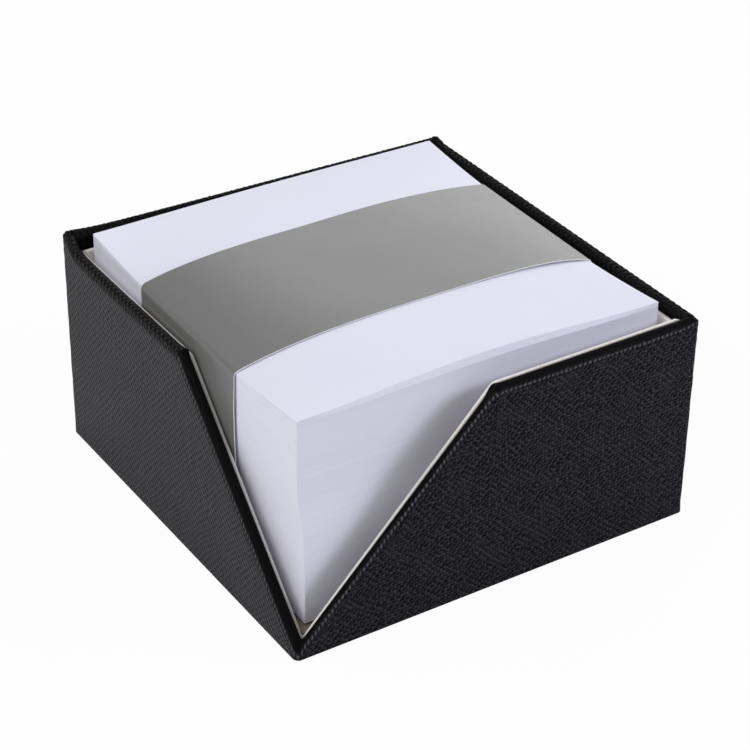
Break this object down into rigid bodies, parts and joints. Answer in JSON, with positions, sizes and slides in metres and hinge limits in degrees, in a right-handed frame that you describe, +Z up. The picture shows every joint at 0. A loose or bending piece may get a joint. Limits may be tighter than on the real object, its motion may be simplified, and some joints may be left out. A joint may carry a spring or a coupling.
{
  "type": "memo cube holder",
  "caption": "Square leatherette-covered board tray with one corner cut down to a V, holding a cube of loose white memo sheets in a grey paper band.",
  "frame": {"origin": "centre of the tray's underside, on the table", "axes": "+Z up; the notched corner is the -X, -Y one; the paper band runs round the cube along X"},
  "size_m": [0.102, 0.102, 0.0578],
  "materials": {
    "leatherette": "black crosshatch-embossed leatherette, satin",
    "grey_board": "solid grey board, matt",
    "kraft_tape": "brown kraft paper tape, matt",
    "liner_card": "ivory card, matt",
    "base_paper": "black uncoated paper, matt",
    "memo_paper": "white uncoated writing paper",
    "band_paper": "grey printed paper with a soft sheen, white core"
  },
  "bodies": {
    "holder": {"base_sheet": "base_paper", "floor_board": "grey_board", "wall_board_front": "grey_board", "wall_board_right": "grey_board", "wall_board_back": "grey_board", "wall_board_left": "grey_board", "corner_stay_back_left": "kraft_tape", "corner_stay_back_right": "kraft_tape", "corner_stay_front_right": "kraft_tape", "leatherette_cover": "leatherette", "floor_liner": "liner_card", "wall_liner_front": "liner_card", "wall_liner_right": "liner_card", "wall_liner_back": "liner_card", "wall_liner_left": "liner_card"},
    "memo_cube": {"memo_ream_lower": "memo_paper", "memo_ream_upper": "memo_paper", "loose_sheet_1": "memo_paper", "loose_sheet_2": "memo_paper", "loose_sheet_3": "memo_paper", "loose_sheet_4": "memo_paper", "loose_sheet_5": "memo_paper", "loose_sheet_6": "memo_paper", "loose_sheet_7": "memo_paper"},
    "top_sheet": {"top_sheet": "memo_paper"},
    "band": {"paper_band": "band_paper"}
  },
  "joints": [
    {"name": "cube_lift", "type": "slide", "parent": "holder", "child": "memo_cube", "axis": [0, 0, 1], "range_m": [0, 0.06]},
    {"name": "top_sheet_draw", "type": "slide", "parent": "memo_cube", "child": "top_sheet", "axis": [0, -1, 0], "range_m": [0, 0.1]},
    {"name": "band_shift", "type": "slide", "parent": "memo_cube", "child": "band", "axis": [0, 1, 0], "range_m": [-0.024, 0.024]}
  ]
}
